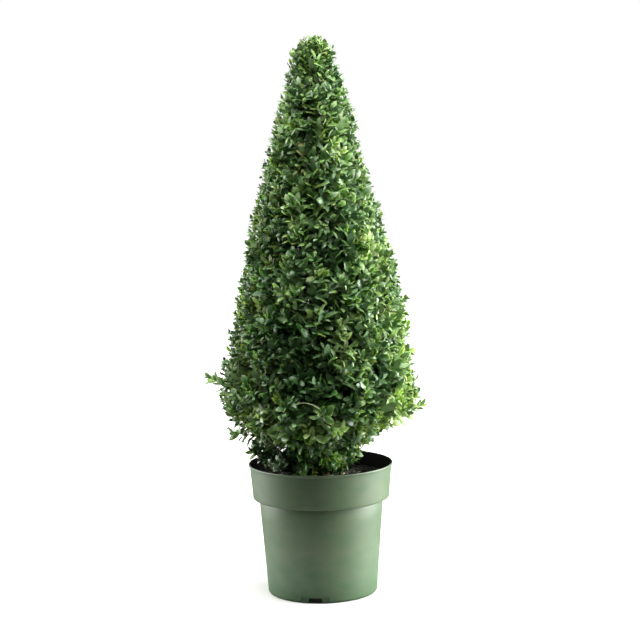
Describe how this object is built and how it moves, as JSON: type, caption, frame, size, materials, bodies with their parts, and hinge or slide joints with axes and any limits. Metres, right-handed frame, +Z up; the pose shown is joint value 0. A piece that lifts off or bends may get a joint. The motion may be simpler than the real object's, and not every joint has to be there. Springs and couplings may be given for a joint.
{
  "type": "boxwood cone topiary in a plastic nursery pot",
  "caption": "Evergreen shrub with small glossy leaves, clipped to a tall cone on a short hidden stem, in a round tapered plastic nursery pot.",
  "frame": {"origin": "centre of the pot's flat underside, on the surface that the pot stands on", "axes": "+Z up along the plant and the pot, -Y towards the front, +X to the right as seen from the front"},
  "size_m": [0.4002, 0.3592, 0.993],
  "materials": {
    "pot": "moulded polypropylene, satin olive green outside and black inside",
    "potting_mix": "damp dark peat with light brown bark chips",
    "bark": "finely fissured grey-tan bark",
    "foliage": "small glossy dark green leaves, brighter on young shoots"
  },
  "bodies": {
    "root": {"pot": "pot", "potting_mix": "potting_mix", "stem": "bark", "crown_foot": "foliage", "crown_skirt": "foliage", "crown_lower": "foliage", "crown_middle": "foliage", "crown_upper": "foliage", "crown_tip": "foliage", "sprig_left": "foliage", "sprig_left_low": "foliage", "sprig_left_rim": "foliage", "sprig_right": "foliage", "sprig_back_left": "foliage", "sprig_back_right": "foliage"}
  },
  "joints": []
}
